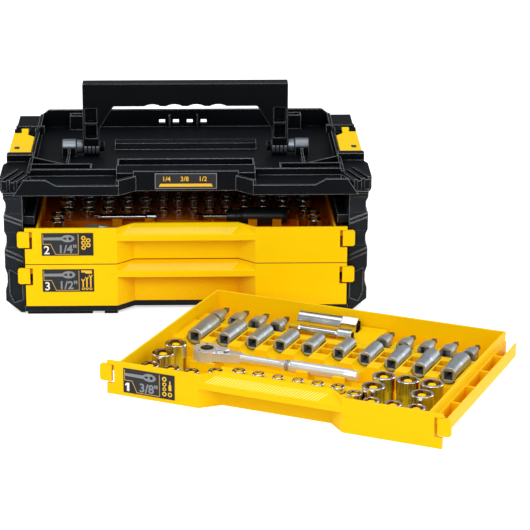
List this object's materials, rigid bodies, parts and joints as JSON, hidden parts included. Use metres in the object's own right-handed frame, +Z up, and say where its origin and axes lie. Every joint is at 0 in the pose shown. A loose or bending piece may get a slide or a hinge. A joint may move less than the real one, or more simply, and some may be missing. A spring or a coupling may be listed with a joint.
{
  "type": "socket wrench set in case",
  "caption": "Black stacking tool case with a folding bail handle, side latches and yellow drawers of ratchets and sockets; the top drawer stands on the floor in front.",
  "frame": {"origin": "middle of the case's footprint, on the plane its feet stand on", "axes": "+Z up, +Y from the drawer fronts to the back of the case, +X to the right seen from the front"},
  "size_m": [0.5885, 0.7282, 0.2442],
  "materials": {
    "case_black": "fine-grained moulded black",
    "drawer_yellow": "satin moulded yellow",
    "chrome": "polished chrome plate",
    "tool_steel": "phosphated tool steel",
    "label_charcoal": "printed film",
    "grip_black": "moulded grip",
    "button_black": "moulded"
  },
  "bodies": {
    "case": {"side_wall_left": "case_black", "side_wall_right": "case_black", "back_panel": "case_black", "base_panel": "case_black", "lid_deck": "case_black", "lid_badge": "label_charcoal", "latch_pins": "tool_steel", "case_screws": "tool_steel"},
    "handle": {"handle_bail": "case_black"},
    "latch_left": {"latch_left": "drawer_yellow"},
    "latch_right": {"latch_right": "drawer_yellow"},
    "drawer_1": {"drawer_1_tray": "drawer_yellow", "drawer_1_label": "label_charcoal", "bit_holders": "chrome", "driver_bits": "tool_steel", "spark_plug_socket": "chrome", "extension_bar": "chrome", "short_sockets": "chrome", "tall_sockets": "chrome", "deep_socket_1": "chrome", "deep_socket_2": "chrome", "deep_socket_3": "chrome", "deep_socket_4": "chrome", "deep_socket_5": "chrome", "deep_socket_6": "chrome", "deep_socket_7": "chrome", "deep_socket_8": "chrome", "deep_socket_9": "chrome", "deep_socket_10": "chrome", "ratchet_body": "chrome", "ratchet_cover": "chrome", "ratchet_cover_screws": "tool_steel", "ratchet_pawl_spring": "tool_steel"},
    "ratchet_drive": {"ratchet_drive": "chrome"},
    "ratchet_button": {"ratchet_button": "button_black"},
    "ratchet_lever": {"ratchet_lever": "chrome", "ratchet_pawl": "tool_steel"},
    "drawer_2": {"drawer_2_tray": "drawer_yellow", "drawer_2_label": "label_charcoal", "quarter_sockets": "chrome", "quarter_extension": "chrome", "spinner_grip": "grip_black", "spinner_shaft": "chrome", "quarter_ratchet_body": "chrome"},
    "quarter_drive": {"quarter_ratchet_drive": "chrome"},
    "quarter_lever": {"quarter_ratchet_lever": "chrome"},
    "drawer_3": {"drawer_3_tray": "drawer_yellow", "drawer_3_label": "label_charcoal", "half_sockets": "chrome", "combination_wrenches": "chrome", "half_ratchet_body": "chrome"},
    "half_drive": {"half_ratchet_drive": "chrome"},
    "half_lever": {"half_ratchet_lever": "chrome"},
    "clip_1_left": {"clip_1_left": "drawer_yellow"},
    "clip_1_right": {"clip_1_right": "drawer_yellow"},
    "clip_2_left": {"clip_2_left": "drawer_yellow"},
    "clip_2_right": {"clip_2_right": "drawer_yellow"},
    "clip_3_left": {"clip_3_left": "drawer_yellow"},
    "clip_3_right": {"clip_3_right": "drawer_yellow"}
  },
  "joints": [
    {"name": "handle_fold", "type": "hinge", "parent": "case", "child": "handle", "pos_m": [0, 0.012, 0.1622], "axis": [-1, 0, 0], "range_deg": [0, 90]},
    {"name": "latch_right_lift", "type": "hinge", "parent": "case", "child": "latch_right", "pos_m": [0.2015, 0.0542, 0.17], "axis": [-1, 0, 0], "range_deg": [0, 95]},
    {"name": "latch_left_lift", "type": "hinge", "parent": "case", "child": "latch_left", "pos_m": [-0.2015, 0.0542, 0.17], "axis": [-1, 0, 0], "range_deg": [0, 95]},
    {"name": "drawer_2_slide", "type": "slide", "parent": "case", "child": "drawer_2", "axis": [0, -1, 0], "range_m": [0, 0.2]},
    {"name": "drawer_3_slide", "type": "slide", "parent": "case", "child": "drawer_3", "axis": [0, -1, 0], "range_m": [0, 0.2]},
    {"name": "drawer_1_slide", "type": "slide", "parent": "drawer_3", "child": "drawer_1", "axis": [-0.4226, -0.9063, 0], "range_m": [0, 0.15]},
    {"name": "clip_1_right_flex", "type": "hinge", "parent": "drawer_1", "child": "clip_1_right", "pos_m": [0.25542, -0.56279, 0.0325], "axis": [0.4226, 0.9063, 0], "range_deg": [0, 8], "stiffness_Nm_per_rad": 0.4},
    {"name": "clip_1_left_flex", "type": "hinge", "parent": "drawer_1", "child": "clip_1_left", "pos_m": [-0.08173, -0.40558, 0.0325], "axis": [-0.4226, -0.9063, 0], "range_deg": [0, 8], "stiffness_Nm_per_rad": 0.4},
    {"name": "clip_2_right_flex", "type": "hinge", "parent": "drawer_2", "child": "clip_2_right", "pos_m": [0.186, -0.154, 0.103], "axis": [0, 1, 0], "range_deg": [0, 8], "stiffness_Nm_per_rad": 0.4},
    {"name": "clip_2_left_flex", "type": "hinge", "parent": "drawer_2", "child": "clip_2_left", "pos_m": [-0.186, -0.154, 0.103], "axis": [0, -1, 0], "range_deg": [0, 8], "stiffness_Nm_per_rad": 0.4},
    {"name": "clip_3_right_flex", "type": "hinge", "parent": "drawer_3", "child": "clip_3_right", "pos_m": [0.186, -0.154, 0.058], "axis": [0, 1, 0], "range_deg": [0, 8], "stiffness_Nm_per_rad": 0.4},
    {"name": "clip_3_left_flex", "type": "hinge", "parent": "drawer_3", "child": "clip_3_left", "pos_m": [-0.186, -0.154, 0.058], "axis": [0, -1, 0], "range_deg": [0, 8], "stiffness_Nm_per_rad": 0.4},
    {"name": "ratchet_drive_turn", "type": "hinge", "parent": "drawer_1", "child": "ratchet_drive", "pos_m": [0.02248, -0.34455, 0.0165], "axis": [0, 0, 1], "continuous": true},
    {"name": "ratchet_lever_turn", "type": "hinge", "parent": "drawer_1", "child": "ratchet_lever", "pos_m": [0.03653, -0.3511, 0.028], "axis": [0, 0, 1], "range_deg": [-16, 16]},
    {"name": "ratchet_button_press", "type": "slide", "parent": "ratchet_drive", "child": "ratchet_button", "axis": [0, 0, -1], "range_m": [0, 0.0012], "stiffness_N_per_m": 300, "springref_m": -0.002},
    {"name": "quarter_drive_turn", "type": "hinge", "parent": "drawer_2", "child": "quarter_drive", "pos_m": [-0.1126, -0.0933, 0.0812], "axis": [0, 0, 1], "continuous": true},
    {"name": "quarter_lever_turn", "type": "hinge", "parent": "drawer_2", "child": "quarter_lever", "pos_m": [-0.10282, -0.0933, 0.0905], "axis": [0, 0, 1], "range_deg": [-20, 20]},
    {"name": "half_drive_turn", "type": "hinge", "parent": "drawer_3", "child": "half_drive", "pos_m": [-0.1308, -0.0857, 0.0303], "axis": [0, 0, 1], "continuous": true},
    {"name": "half_lever_turn", "type": "hinge", "parent": "drawer_3", "child": "half_lever", "pos_m": [-0.11295, -0.0857, 0.048], "axis": [0, 0, 1], "range_deg": [-20, 20]}
  ]
}
